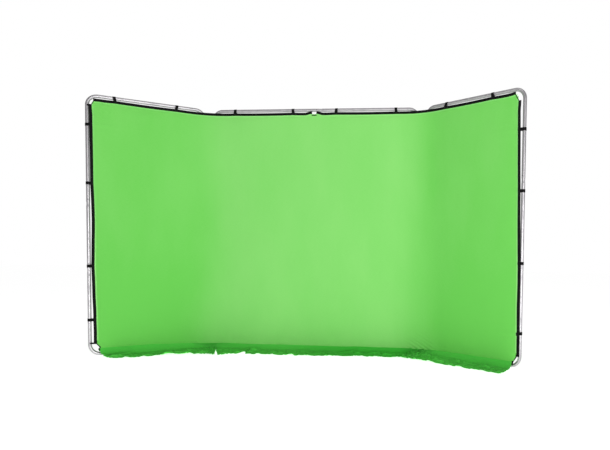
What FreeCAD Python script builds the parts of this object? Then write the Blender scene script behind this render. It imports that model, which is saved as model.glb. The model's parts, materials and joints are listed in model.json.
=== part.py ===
import FreeCAD, Part
import Sketcher
import math
import os

# Collapsible backdrop panel: three tube frames side by side, hinged, with one cloth cover in front.
# Millimetres. +Z up, the front faces -Y, the origin is on the floor under the middle of the footprint.
# Each frame has its own local axes: the centre frame's start at its middle, and a wing's at its hinge
# axis. In all of them X runs along the frame, Y = 0 is the plane of the tube centrelines and Z = 0 is
# the floor. The frames come apart at slip joints: a swaged end goes into the next tube's plain mouth,
# and a spring-loaded snap button holds it.

os.makedirs("parts", exist_ok=True)
doc = FreeCAD.newDocument("backdrop_panel")

# ---------------------------------------------------------------- driving sizes
sizes = [
    ("frameHeight", 2300, "overall height of every frame"),
    ("centreWidth", 2000, "overall width of the centre frame"),
    ("wingWidth", 1000, "overall width of a wing frame"),
    ("hingeGap", 60, "clear gap between neighbouring uprights when the panel is flat"),
    ("restAngle", 34, "how far each wing stands forward of the centre frame, degrees"),
    ("tubeDiameter", 30, "frame tube, outside"),
    ("tubeWall", 1.5, "frame tube wall"),
    ("cornerRadius", 85, "bend radius of the tube centreline at a frame's corners"),
    ("longEnd", 940, "leg length of a wing's long bow"),
    ("wingMiddle", 620, "length of a wing's middle tube, mouth to mouth"),
    ("centreMiddle", 620, "length of a centre upright's middle tube, mouth to mouth"),
    ("railJointShift", 45, "how far a centre rail's joint lies right of the middle"),
    ("spigotLength", 70, "length of swaged end inside the next tube"),
    ("spigotClearance", 0.1, "radial gap between a swaged end and the mouth it goes into"),
    ("neckLength", 25, "swaged length left showing outside the mouth"),
    ("swageLength", 15, "length of the taper from full diameter to the swaged one"),
    ("buttonInset", 22, "distance from a tube's mouth to its snap button"),
    ("buttonDiameter", 8, "snap button"),
    ("buttonClearance", 0.1, "radial gap round a snap button"),
    ("buttonStand", 3, "how far a snap button stands out of the tube"),
    ("flangeDiameter", 11, "flange that keeps a snap button in its hole"),
    ("flangeThickness", 1.2, "thickness of that flange"),
    ("flangeClearance", 0.15, "gap between the flange's rim and the bore that it rests in"),
    ("springThickness", 0.5, "leaf of the snap button's spring"),
    ("springWidth", 7, "width of that leaf"),
    ("springLength", 38, "length of that spring"),
    ("hingeInset", 420, "height of the lower hinge, and depth of the upper one below the top"),
    ("clampHeight", 60, "height of a hinge clamp"),
    ("clampWall", 3.5, "wall of a hinge clamp's collar"),
    ("clampClearance", 0.05, "radial gap between a clamp's collar and its tube"),
    ("webThickness", 14, "thickness of the web from collar to knuckle"),
    ("knuckleDiameter", 22, "hinge knuckle"),
    ("knuckleGap", 0.5, "gap above and below a wing's knuckle"),
    ("pinDiameter", 8, "hinge pin"),
    ("pinClearance", 0.05, "radial gap between the pin and a wing's knuckle"),
    ("pinHeadDiameter", 14, "head of a hinge pin"),
    ("pinHeadHeight", 3, "height of that head"),
    ("lipWidth", 18, "width of a clamp's pair of lips"),
    ("lipReach", 38, "distance of the lips' ends from the tube's axis"),
    ("lipSlot", 2, "slot between the lips"),
    ("screwDiameter", 6, "clamp screw"),
    ("screwSetback", 29, "distance of a clamp screw from the tube's axis"),
    ("screwHeadDiameter", 10, "head of a clamp screw"),
    ("screwHeadHeight", 5, "height of that head"),
    ("coverClearance", 0.5, "gap between the hinge collars and the cloth in front of them"),
    ("coverThickness", 1, "cloth of the cover and of its floor skirt"),
    ("foldTrim", 24, "how far each cloth panel stops short of the hinge axis"),
    ("edgeGap", 14, "gap between a frame tube and the cover's bound edge"),
    ("bindingWidth", 22, "elastic webbing along the cover's edge"),
    ("bindingThickness", 2, "thickness of that webbing"),
    ("cornerCut", 45, "diagonal cut across the cover's top outer corners"),
    ("bottomCut", 75, "diagonal cut across the cover's bottom outer corners"),
    ("notchWidth", 44, "break in the top webbing by the centre rail's joint"),
    ("notchShift", 18, "how far that break lies left of the middle"),
    ("skirtDepth", 300, "depth of the floor skirt in front of the cover"),
    ("skirtInset", 100, "how far the skirt stops short of a wing's outer side"),
    ("clipWidth", 20, "strap clip along the tube"),
    ("clipThickness", 2, "strap of a clip"),
    ("clipClearance", 0.2, "radial gap between a clip and its tube"),
    ("wingRailClipOuter", 240, "a wing's outer top clip, from its outer upright's axis"),
    ("wingRailClipInner", 725, "a wing's inner top clip, from its outer upright's axis"),
    ("centreRailClipInner", 215, "the centre frame's inner top clips, from the middle"),
    ("centreRailClipOuter", 210, "the centre frame's outer top clips, from its uprights' axes"),
    ("sideClipFirst", 290, "height of the lowest clip on an outer upright"),
    ("sideClipSecond", 815, "height of the second"),
    ("sideClipThird", 815, "depth of the third below the top"),
    ("sideClipFourth", 295, "depth of the fourth below the top"),
]

sheet = doc.addObject("Spreadsheet::Sheet", "Sizes")
for row, (alias, number, note) in enumerate(sizes, start=1):
    sheet.set(f"A{row}", note)
    sheet.set(f"B{row}", str(number))
    sheet.setAlias(f"B{row}", alias)
doc.recompute()

# ---------------------------------------------------------------- sizes worked out from those
tubeRadius = "(Sizes.tubeDiameter / 2)"
tubeBore = "(Sizes.tubeDiameter / 2 - Sizes.tubeWall)"
spigotRadius = f"({tubeBore} - Sizes.spigotClearance)"
spigotBore = f"({spigotRadius} - Sizes.tubeWall)"
flangeTop = f"(sqrt({spigotBore} ^ 2 - (Sizes.flangeDiameter / 2) ^ 2) - Sizes.flangeClearance)"
flangeUnder = f"({flangeTop} - Sizes.flangeThickness)"  # both from the tube's axis
railHeight = f"(Sizes.frameHeight - {tubeRadius})"  # axis of a top rail
innerUpright = f"(Sizes.hingeGap / 2 + {tubeRadius})"  # axes of a wing's uprights, from its hinge axis
outerUpright = f"(Sizes.hingeGap / 2 + Sizes.wingWidth - {tubeRadius})"
centreUpright = f"(Sizes.centreWidth / 2 - {tubeRadius})"  # from the middle
hingeX = "(Sizes.centreWidth / 2 + Sizes.hingeGap / 2)"
collarRadius = f"({tubeRadius} + Sizes.clampClearance + Sizes.clampWall)"
sheetBack = f"({collarRadius} + Sizes.coverClearance)"  # cloth, forward of the tube axes
sheetFront = f"({sheetBack} + Sizes.coverThickness)"
bindingBack = f"({sheetBack} - (Sizes.bindingThickness - Sizes.coverThickness) / 2)"
edgeOuter = f"({outerUpright} - {tubeRadius} - Sizes.edgeGap)"  # the cover's bound outer edge
edgeInner = f"({edgeOuter} - Sizes.bindingWidth)"
edgeTop = f"({railHeight} - {tubeRadius} - Sizes.edgeGap)"
edgeUnder = f"({edgeTop} - Sizes.bindingWidth)"
mitre = "(Sizes.bindingWidth * tan(22.5))"  # where a strip of that width turns by 45 degrees
skirtFront = f"({sheetFront} + Sizes.skirtDepth)"
skirtEnd = f"({outerUpright} + {tubeRadius} - Sizes.skirtInset)"
frontReach = (
    f"({skirtEnd} * sin(Sizes.restAngle) + {skirtFront} * cos(Sizes.restAngle))"
)
frameY = f"(({frontReach} - Sizes.lipReach) / 2)"  # brings the footprint's middle to the origin


def value(text):
    """The number that an expression gives."""
    return float(sheet.evalExpression(text.replace("Sizes.", "")))


def minus(text):
    return f"-({text})"


def toSide(side, text):
    """An expression on the right (+1) or on the left (-1)."""
    return text if side > 0 else minus(text)


# ---------------------------------------------------------------- helpers
nodes = []  # the objects that are written out
panels = {  # hinge axis or middle that a frame's local axes start from, and the frame's turn
    "left": (minus(hingeX), "Sizes.restAngle"),
    "centre": ("0", "0"),
    "right": (hingeX, "-Sizes.restAngle"),
}
sides = {"left": -1, "right": 1}


def putOnPanel(item, panel, label):
    """Places a finished sub-part that was drawn in a frame's local axes, and keeps it for export."""
    across, turn = panels[panel]
    item.Label = label
    item.Placement = FreeCAD.Placement(
        FreeCAD.Vector(), FreeCAD.Rotation(FreeCAD.Vector(0, 0, 1), 1)
    )
    item.setExpression(".Placement.Base.x", across)
    item.setExpression(".Placement.Base.y", frameY)
    item.setExpression(".Placement.Rotation.Angle", turn)
    nodes.append(item)


def newBody(name):
    return doc.addObject("PartDesign::Body", name + "_body")


def sketchOn(body, name, role, offset=("0", "0", "0")):
    """A sketch on one of the body's own origin planes, moved in the sketch's own axes."""
    sketch = body.newObject("Sketcher::SketchObject", f"{body.Name}_{name}")
    plane = next(o for o in body.Origin.OriginFeatures if o.Role == role)
    sketch.AttachmentSupport = [(plane, "")]
    sketch.MapMode = "FlatFace"
    for axis, text in zip("xyz", offset):
        sketch.setExpression(f".AttachmentOffset.Base.{axis}", text)
    return sketch


def pin(sketch, kind, index, end, text):
    """Holds a point's distance from the sketch's origin to an expression."""
    made = sketch.addConstraint(
        Sketcher.Constraint(kind, -1, 1, index, end, value(text))
    )
    sketch.setExpression(f"Constraints[{made}]", text)


def outline(sketch, points):
    """A closed outline with straight sides."""
    places = [FreeCAD.Vector(value(x), value(y), 0) for x, y in points]
    count = len(places)
    for i in range(count):
        sketch.addGeometry(Part.LineSegment(places[i], places[(i + 1) % count]))
    for i in range(count):
        sketch.addConstraint(
            Sketcher.Constraint("Coincident", i, 2, (i + 1) % count, 1)
        )
    for i, (x, y) in enumerate(points):
        pin(sketch, "DistanceX", i, 1, x)
        pin(sketch, "DistanceY", i, 1, y)


def circleAt(sketch, radius, x="0", y="0"):
    index = sketch.addGeometry(
        Part.Circle(FreeCAD.Vector(value(x), value(y), 0), FreeCAD.Vector(0, 0, 1), value(radius))
    )
    made = sketch.addConstraint(Sketcher.Constraint("Radius", index, value(radius)))
    sketch.setExpression(f"Constraints[{made}]", radius)
    pin(sketch, "DistanceX", index, 3, x)
    pin(sketch, "DistanceY", index, 3, y)


def bentPath(sketch, corners):
    """An open line through the corners, each a square turn rounded to the bend radius."""
    spots = [FreeCAD.Vector(value(x), value(y), 0) for x, y in corners]
    bend = value("Sizes.cornerRadius")
    count = len(spots)
    runs = [(spots[i + 1] - spots[i]).normalize() for i in range(count - 1)]
    for i, run in enumerate(runs):
        start = spots[i] + run * (bend if i > 0 else 0)
        stop = spots[i + 1] - run * (bend if i < count - 2 else 0)
        line = sketch.addGeometry(Part.LineSegment(start, stop))
        upright = abs(run.y) > abs(run.x)
        kind, along = ("DistanceX", 0) if upright else ("DistanceY", 1)
        sketch.addConstraint(Sketcher.Constraint("Vertical" if upright else "Horizontal", line))
        pin(sketch, kind, line, 1, corners[i][along])
        if i == 0:
            pin(sketch, "DistanceY" if upright else "DistanceX", line, 1, corners[0][1 - along])
        if i == count - 2:
            pin(sketch, "DistanceY" if upright else "DistanceX", line, 2, corners[-1][1 - along])
    for i in range(1, count - 1):
        into, out = runs[i - 1], runs[i]
        middle = spots[i] - into * bend + out * bend
        leftTurn = into.cross(out).z > 0
        first, last = (-out, into) if leftTurn else (into, -out)
        angles = [math.atan2(v.y, v.x) for v in (first, last)]
        circle = Part.Circle(middle, FreeCAD.Vector(0, 0, 1), bend)
        arc = sketch.addGeometry(Part.ArcOfCircle(circle, angles[0], angles[1]))
        start, stop = (1, 2) if leftTurn else (2, 1)
        sketch.addConstraint(Sketcher.Constraint("Tangent", i - 1, 2, arc, start))
        sketch.addConstraint(Sketcher.Constraint("Tangent", arc, stop, i, 1))
        made = sketch.addConstraint(Sketcher.Constraint("Radius", arc, bend))
        sketch.setExpression(f"Constraints[{made}]", "Sizes.cornerRadius")


def padOf(body, sketch, length, middle=False):
    pad = body.newObject("PartDesign::Pad", sketch.Name + "_pad")
    pad.Profile = sketch
    pad.Midplane = middle
    pad.setExpression("Length", length)
    return pad


def turned(body, sketch, axis):
    """A sketch revolved about one of its own axes."""
    round_ = body.newObject("PartDesign::Revolution", sketch.Name + "_turned")
    round_.Profile = sketch
    round_.ReferenceAxis = (sketch, [axis])
    round_.Angle = 360
    return round_


def buttonHole(body, x, z, toFront):
    """A hole for a snap button, through one wall of the tube only."""
    sketch = sketchOn(body, f"hole_{len(body.Group)}", "XZ_Plane")
    circleAt(sketch, "(Sizes.buttonDiameter / 2 + Sizes.buttonClearance)", x, z)
    hole = body.newObject("PartDesign::Pocket", sketch.Name + "_pocket")
    hole.Profile = sketch
    hole.setExpression("Length", "Sizes.tubeDiameter")
    hole.Reversed = toFront


def swagedEnd(body, mouth, direction, height):
    """The tapered, thinner end of a rail that goes into the next tube, from the mouth backwards."""
    def along(text):
        return f"({mouth} + {direction} * ({text}))"

    sketch = sketchOn(body, "spigot", "XZ_Plane", ("0", height, "0"))
    shoulder = "Sizes.neckLength + Sizes.swageLength"
    outline(
        sketch,
        [
            (along("-Sizes.spigotLength"), spigotRadius),
            (along("Sizes.neckLength"), spigotRadius),
            (along(shoulder), tubeRadius),
            (along(shoulder), tubeBore),
            (along("Sizes.neckLength"), spigotBore),
            (along("-Sizes.spigotLength"), spigotBore),
        ],
    )
    turned(body, sketch, "H_Axis")


# ---------------------------------------------------------------- frame tubes
def bentTube(panel, label, corners, holes, swage=None):
    """A tube with square corners. It starts on an upright, where its mouth is."""
    body = newBody(label)
    path = sketchOn(body, "path", "XZ_Plane")
    bentPath(path, corners)
    ring = sketchOn(body, "ring", "XY_Plane", (corners[0][0], "0", corners[0][1]))
    circleAt(ring, tubeRadius)
    circleAt(ring, tubeBore)
    pipe = body.newObject("PartDesign::AdditivePipe", body.Name + "_pipe")
    pipe.Profile = ring
    pipe.Spine = (path, [])
    if swage:
        swagedEnd(body, *swage)
    for x, z, toFront in holes:
        buttonHole(body, x, z, toFront)
    putOnPanel(body, panel, label)


def middleTube(panel, label, x, lower, upper, toFront):
    """A straight tube, swaged at both ends. lower and upper are the heights of the mouths."""
    body = newBody(label)
    section = sketchOn(body, "section", "XZ_Plane", (x, "0", "0"))
    levels = [
        f"({lower} - Sizes.spigotLength)",
        f"({lower} + Sizes.neckLength)",
        f"({lower} + Sizes.neckLength + Sizes.swageLength)",
        f"({upper} - Sizes.neckLength - Sizes.swageLength)",
        f"({upper} - Sizes.neckLength)",
        f"({upper} + Sizes.spigotLength)",
    ]
    outer = [spigotRadius, spigotRadius, tubeRadius, tubeRadius, spigotRadius, spigotRadius]
    inner = [spigotBore, spigotBore, tubeBore, tubeBore, spigotBore, spigotBore]
    outline(section, list(zip(outer, levels)) + list(zip(inner, levels))[::-1])
    turned(body, section, "V_Axis")
    buttonHole(body, x, f"({lower} - Sizes.buttonInset)", toFront)
    buttonHole(body, x, f"({upper} + Sizes.buttonInset)", toFront)
    putOnPanel(body, panel, label)


def snapButton(panel, label, x, z, toFront):
    """A stepped button: a chamfered stem through the wall, and a flange inside the tube."""
    body = newBody(label)
    section = sketchOn(body, "section", "XY_Plane", (x, "0", z))
    way = -1 if toFront else 1
    stem = "(Sizes.buttonDiameter / 2)"
    flange = "(Sizes.flangeDiameter / 2)"
    top = f"({tubeRadius} + Sizes.buttonStand)"
    chamfer = "(Sizes.buttonStand / 2)"
    steps = [
        ("0", flangeUnder),
        (flange, flangeUnder),
        (flange, flangeTop),
        (stem, flangeTop),
        (stem, f"({top} - {chamfer})"),
        (f"({stem} - {chamfer})", top),
        ("0", top),
    ]
    outline(section, [(out, f"{way} * {up}") for out, up in steps])
    turned(body, section, "V_Axis")
    putOnPanel(body, panel, label)


def springLeaf(name, x, z, toFront, alongRail):
    """A V of spring strip inside the tube: one leaf under the button, one on the far wall."""
    body = newBody(name)
    way = -1 if toFront else 1
    seat = flangeUnder
    foot = f"sqrt({spigotBore} ^ 2 - (Sizes.springWidth / 2) ^ 2)"  # its edges rest on the bore
    thick = "Sizes.springThickness"
    profile = [
        ("-Sizes.buttonDiameter / 2", seat),
        ("Sizes.springLength * 0.6", seat),
        ("Sizes.springLength", "0"),
        ("0", minus(foot)),
        ("0", f"({thick} - {foot})"),
        (f"(Sizes.springLength - 2 * {thick})", "0"),
        (f"(Sizes.springLength * 0.6 - {thick} / 2)", f"({seat} - {thick})"),
        ("-Sizes.buttonDiameter / 2", f"({seat} - {thick})"),
    ]
    if alongRail:  # the sketch's X runs along the rail, its Y to the back
        sketch = sketchOn(body, "leaf", "XY_Plane", (x, "0", z))
        outline(sketch, [(a, f"{way} * ({b})") for a, b in profile])
    else:  # the sketch's X runs to the back, its Y up the tube
        sketch = sketchOn(body, "leaf", "YZ_Plane", ("0", z, x))
        outline(sketch, [(f"{way} * ({b})", a) for a, b in profile])
    padOf(body, sketch, "Sizes.springWidth", middle=True)
    return body


wingJoints = {  # heights of the mouths: the right wing's frame is the left one's turned upside down
    "left": (
        "(Sizes.frameHeight - Sizes.longEnd - Sizes.wingMiddle)",
        "(Sizes.frameHeight - Sizes.longEnd)",
    ),
    "right": ("Sizes.longEnd", "(Sizes.longEnd + Sizes.wingMiddle)"),
}
centreJoints = (
    "((Sizes.frameHeight - Sizes.centreMiddle) / 2)",
    "((Sizes.frameHeight + Sizes.centreMiddle) / 2)",
)
buttons = []  # panel, label, x, z, to the front, along a rail


def uprightButtons(panel, name, x, lower, upper, toFront):
    buttons.append((panel, f"{name}_upper_button", x, f"({upper} + Sizes.buttonInset)", toFront, False))
    buttons.append((panel, f"{name}_lower_button", x, f"({lower} - Sizes.buttonInset)", toFront, False))


for panel, side in sides.items():
    lower, upper = wingJoints[panel]
    inner, outer = toSide(side, innerUpright), toSide(side, outerUpright)
    for end, rail, mouth, hole in (
        ("top", railHeight, upper, f"({upper} + Sizes.buttonInset)"),
        ("bottom", tubeRadius, lower, f"({lower} - Sizes.buttonInset)"),
    ):
        bentTube(
            panel,
            f"{panel}_wing_{end}_bow",
            [(inner, mouth), (inner, rail), (outer, rail), (outer, mouth)],
            [(inner, hole, False), (outer, hole, True)],
        )
    for where, x, toFront in (("inner", inner, False), ("outer", outer, True)):
        middleTube(panel, f"{panel}_wing_{where}_middle_tube", x, lower, upper, toFront)
        uprightButtons(panel, f"{panel}_wing_{where}", x, lower, upper, toFront)

lower, upper = centreJoints
railMouth = "Sizes.railJointShift"
railButton = "(Sizes.railJointShift - Sizes.buttonInset)"
railShoulder = "(Sizes.railJointShift + Sizes.neckLength + Sizes.swageLength)"
for end, rail, mouth, hole, railFront in (
    ("top", railHeight, upper, f"({upper} + Sizes.buttonInset)", True),
    ("bottom", tubeRadius, lower, f"({lower} - Sizes.buttonInset)", False),
):
    for panel, side in sides.items():
        x = toSide(side, centreUpright)
        swaged = side > 0  # the right half's end goes into the left half's mouth
        bentTube(
            "centre",
            f"centre_{end}_{panel}_tube",
            [(x, mouth), (x, rail), (railShoulder if swaged else railMouth, rail)],
            [(x, hole, False), (railButton, rail, railFront)],
            (railMouth, 1, rail) if swaged else None,
        )
    buttons.append(("centre", f"centre_{end}_rail_button", railButton, rail, railFront, True))
for panel, side in sides.items():
    x = toSide(side, centreUpright)
    middleTube("centre", f"centre_{panel}_middle_tube", x, lower, upper, False)
    uprightButtons("centre", f"centre_{panel}", x, lower, upper, False)

for panel, label, x, z, toFront, alongRail in buttons:
    snapButton(panel, label, x, z, toFront)

for panel in panels:
    group = doc.addObject("Part::Compound", f"{panel}_springs")
    group.Links = [
        springLeaf(label + "_spring", x, z, toFront, alongRail)
        for home, label, x, z, toFront, alongRail in buttons
        if home == panel
    ]
    prefix = "centre" if panel == "centre" else f"{panel}_wing"
    putOnPanel(group, panel, f"{prefix}_button_springs")


# ---------------------------------------------------------------- hinges
def solid(kind, name, measures, x="0", y="0", z="0", lying=False):
    """A Part primitive with its sizes and place bound. lying turns its axis from Z to X."""
    item = doc.addObject(f"Part::{kind}", name)
    for prop, text in measures.items():
        item.setExpression(prop, text)
    if lying:
        item.Placement = FreeCAD.Placement(
            FreeCAD.Vector(), FreeCAD.Rotation(FreeCAD.Vector(0, 1, 0), 90)
        )
    for axis, text in zip("xyz", (x, y, z)):
        item.setExpression(f".Placement.Base.{axis}", text)
    return item


def joined(name, items):
    item = doc.addObject("Part::MultiFuse", name)
    item.Shapes = items
    return item


def without(name, base, tools):
    item = doc.addObject("Part::Cut", name)
    item.Base = base
    item.Tool = tools[0] if len(tools) == 1 else joined(name + "_tools", tools)
    return item


def hingeClamp(panel, label, axisX, tubeSide, base, forked):
    """A split collar on an upright, with a web out to the hinge's knuckle.

    A fork has its knuckles at the top and bottom thirds and grips the pin. The other clamp has the
    middle third, which turns on the pin.
    """
    tubeX = f"({axisX} + {toSide(tubeSide, innerUpright)})"
    webX = f"min({axisX}; {tubeX})"
    third = "(Sizes.clampHeight / 3)"
    if forked:
        bands = [("0", third), (f"2 * {third}", third)]
        pinRadius = "(Sizes.pinDiameter / 2)"
    else:
        bands = [(f"({third} + Sizes.knuckleGap)", f"({third} - 2 * Sizes.knuckleGap)")]
        pinRadius = "(Sizes.pinDiameter / 2 + Sizes.pinClearance)"
    full = "Sizes.clampHeight"
    body = [
        solid("Cylinder", label + "_collar", {"Radius": collarRadius, "Height": full}, tubeX, "0", base),
        solid(
            "Box",
            label + "_lips",
            {"Length": "Sizes.lipWidth", "Width": "Sizes.lipReach", "Height": full},
            f"({tubeX} - Sizes.lipWidth / 2)",
            "0",
            base,
        ),
    ]
    for i, (start, height) in enumerate(bands):
        at = f"({base} + {start})"
        body.append(
            solid(
                "Cylinder",
                f"{label}_knuckle_{i}",
                {"Radius": "Sizes.knuckleDiameter / 2", "Height": height},
                axisX,
                "0",
                at,
            )
        )
        body.append(
            solid(
                "Box",
                f"{label}_web_{i}",
                {"Length": innerUpright, "Width": "Sizes.webThickness", "Height": height},
                webX,
                "-Sizes.webThickness / 2",
                at,
            )
        )
    bore = f"({tubeRadius} + Sizes.clampClearance)"
    tools = [
        solid("Cylinder", label + "_bore", {"Radius": bore, "Height": full}, tubeX, "0", base),
        solid("Cylinder", label + "_eye", {"Radius": pinRadius, "Height": full}, axisX, "0", base),
        solid(
            "Box",
            label + "_slot",
            {"Length": "Sizes.lipSlot", "Width": "2 * Sizes.lipReach", "Height": full},
            f"({tubeX} - Sizes.lipSlot / 2)",
            "0",
            base,
        ),
        solid(
            "Cylinder",
            label + "_screwHole",
            {"Radius": "Sizes.screwDiameter / 2", "Height": "Sizes.lipWidth"},
            f"({tubeX} - Sizes.lipWidth / 2)",
            "Sizes.screwSetback",
            f"({base} + {full} / 2)",
            lying=True,
        ),
    ]
    clamp = without(label + "_cut", joined(label + "_blank", body), tools)
    putOnPanel(clamp, panel, label)
    return tubeX


def clampScrew(name, tubeX, base):
    """A cap screw through both lips, with its head on the lip at lower X."""
    start = f"({tubeX} - Sizes.lipWidth / 2)"
    middle = f"({base} + Sizes.clampHeight / 2)"
    shank = {"Radius": "Sizes.screwDiameter / 2", "Height": "Sizes.lipWidth"}
    head = {"Radius": "Sizes.screwHeadDiameter / 2", "Height": "Sizes.screwHeadHeight"}
    headX = f"({start} - Sizes.screwHeadHeight)"
    return joined(
        name,
        [
            solid("Cylinder", name + "_shank", shank, start, "Sizes.screwSetback", middle, lying=True),
            solid("Cylinder", name + "_head", head, headX, "Sizes.screwSetback", middle, lying=True),
        ],
    )


def hingePin(name, axisX, base):
    """A pin as long as the fork is high, with a head on top of it."""
    stem = {"Radius": "Sizes.pinDiameter / 2", "Height": "Sizes.clampHeight"}
    head = {"Radius": "Sizes.pinHeadDiameter / 2", "Height": "Sizes.pinHeadHeight"}
    headZ = f"({base} + Sizes.clampHeight)"
    return joined(
        name,
        [
            solid("Cylinder", name + "_stem", stem, axisX, "0", base),
            solid("Cylinder", name + "_head", head, axisX, "0", headZ),
        ],
    )


hingeBases = {
    "lower": "(Sizes.hingeInset - Sizes.clampHeight / 2)",
    "upper": "(Sizes.frameHeight - Sizes.hingeInset - Sizes.clampHeight / 2)",
}
screws = {panel: [] for panel in panels}
for panel, side in sides.items():
    axisX = toSide(side, hingeX)
    pins = []
    for level, base in hingeBases.items():
        name = f"{panel}_{level}_hinge"
        forkX = hingeClamp("centre", name + "_fork", axisX, -side, base, True)
        eyeX = hingeClamp(panel, name + "_eye", "0", side, base, False)
        screws["centre"].append(clampScrew(name + "_forkScrew", forkX, base))
        screws[panel].append(clampScrew(name + "_eyeScrew", eyeX, base))
        pins.append(hingePin(name + "_pin", axisX, base))
    group = doc.addObject("Part::Compound", f"{panel}_pins")
    group.Links = pins
    putOnPanel(group, "centre", f"{panel}_hinge_pins")
for panel, items in screws.items():
    group = doc.addObject("Part::Compound", f"{panel}_screws")
    group.Links = items
    prefix = "centre" if panel == "centre" else f"{panel}_wing"
    putOnPanel(group, panel, f"{prefix}_clamp_screws")


# ---------------------------------------------------------------- cover, skirt and webbing
def upright(body, name, points, back, thickness):
    """A flat sheet parallel to the frame, its back face that far forward of the tube axes."""
    sketch = sketchOn(body, name, "XZ_Plane", ("0", "0", back))
    outline(sketch, points)
    padOf(body, sketch, thickness)


def lying(body, points):
    """A flat sheet on the floor."""
    sketch = sketchOn(body, "outline", "XY_Plane")
    outline(sketch, points)
    padOf(body, sketch, "Sizes.coverThickness")


hem = "Sizes.coverThickness"  # the cover stands on its skirt
centreEdge = f"({hingeX} - Sizes.foldTrim)"
body = newBody("centre_cover")
upright(
    body,
    "outline",
    [
        (minus(centreEdge), hem),
        (centreEdge, hem),
        (centreEdge, edgeUnder),
        (minus(centreEdge), edgeUnder),
    ],
    sheetBack,
    "Sizes.coverThickness",
)
putOnPanel(body, "centre", "centre_cover")

body = newBody("centre_binding")
notchLeft = "(-Sizes.notchShift - Sizes.notchWidth / 2)"
notchRight = "(-Sizes.notchShift + Sizes.notchWidth / 2)"
for name, start, stop in (("left", minus(centreEdge), notchLeft), ("right", notchRight, centreEdge)):
    upright(
        body,
        name,
        [(start, edgeUnder), (stop, edgeUnder), (stop, edgeTop), (start, edgeTop)],
        bindingBack,
        "Sizes.bindingThickness",
    )
putOnPanel(body, "centre", "centre_binding")

body = newBody("centre_skirt")
narrow = f"({centreEdge} - Sizes.skirtDepth - Sizes.coverThickness)"
lying(
    body,
    [
        (minus(centreEdge), minus(sheetBack)),
        (centreEdge, minus(sheetBack)),
        (narrow, minus(skirtFront)),
        (minus(narrow), minus(skirtFront)),
    ],
)
putOnPanel(body, "centre", "centre_skirt")

for panel, side in sides.items():
    body = newBody(f"{panel}_cover")
    cover = [
        ("Sizes.foldTrim", hem),
        (f"({edgeOuter} - Sizes.bottomCut)", hem),
        (edgeOuter, "Sizes.bottomCut"),
        (edgeInner, "Sizes.bottomCut"),
        (edgeInner, f"({edgeTop} - Sizes.cornerCut - {mitre})"),
        (f"({edgeOuter} - Sizes.cornerCut - {mitre})", edgeUnder),
        ("Sizes.foldTrim", edgeUnder),
    ]
    points = [(toSide(side, x), z) for x, z in cover]
    upright(body, "outline", points, sheetBack, "Sizes.coverThickness")
    putOnPanel(body, panel, f"{panel}_wing_cover")

    body = newBody(f"{panel}_binding")
    strip = [
        ("Sizes.foldTrim", edgeTop),
        (f"({edgeOuter} - Sizes.cornerCut)", edgeTop),
        (edgeOuter, f"({edgeTop} - Sizes.cornerCut)"),
        (edgeOuter, "Sizes.bottomCut"),
        (edgeInner, "Sizes.bottomCut"),
        (edgeInner, f"({edgeTop} - Sizes.cornerCut - {mitre})"),
        (f"({edgeOuter} - Sizes.cornerCut - {mitre})", edgeUnder),
        ("Sizes.foldTrim", edgeUnder),
    ]
    points = [(toSide(side, x), z) for x, z in strip]
    upright(body, "outline", points, bindingBack, "Sizes.bindingThickness")
    putOnPanel(body, panel, f"{panel}_wing_binding")

    body = newBody(f"{panel}_skirt")
    skirt = [
        ("Sizes.foldTrim", sheetBack),
        (skirtEnd, sheetBack),
        (skirtEnd, skirtFront),
        ("(Sizes.foldTrim + Sizes.skirtDepth + Sizes.coverThickness)", skirtFront),
    ]
    lying(body, [(toSide(side, x), minus(y)) for x, y in skirt])
    putOnPanel(body, panel, f"{panel}_wing_skirt")


# ---------------------------------------------------------------- strap clips
def strapClip():
    """One clip about a tube on Z: a loop of strap, and a tail along +X, sewn to the webbing's back."""
    inside = f"({tubeRadius} + Sizes.clipClearance)"
    outside = f"({inside} + Sizes.clipThickness)"
    loop = solid("Cylinder", "clip_loop", {"Radius": outside, "Height": "Sizes.clipWidth"})
    tail = solid(
        "Box",
        "clip_tail",
        {
            "Length": f"({tubeRadius} + Sizes.edgeGap + Sizes.bindingWidth)",
            "Width": "Sizes.clipThickness",
            "Height": "Sizes.clipWidth",
        },
        "0",
        minus(bindingBack),
    )
    bore = solid("Cylinder", "clip_bore", {"Radius": inside, "Height": "Sizes.clipWidth"})
    return without("clip", joined("clip_blank", [loop, tail]), [bore])


clip = strapClip()


def clipAt(name, x, z, turn):
    """A copy of the clip, turned about Y so that its tail points to the cover."""
    copy = doc.addObject("App::Link", name)
    copy.LinkedObject = clip
    copy.Placement = FreeCAD.Placement(
        FreeCAD.Vector(), FreeCAD.Rotation(FreeCAD.Vector(0, 1, 0), turn)
    )
    copy.setExpression(".Placement.Base.x", x)
    copy.setExpression(".Placement.Base.z", z)
    return copy


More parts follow.
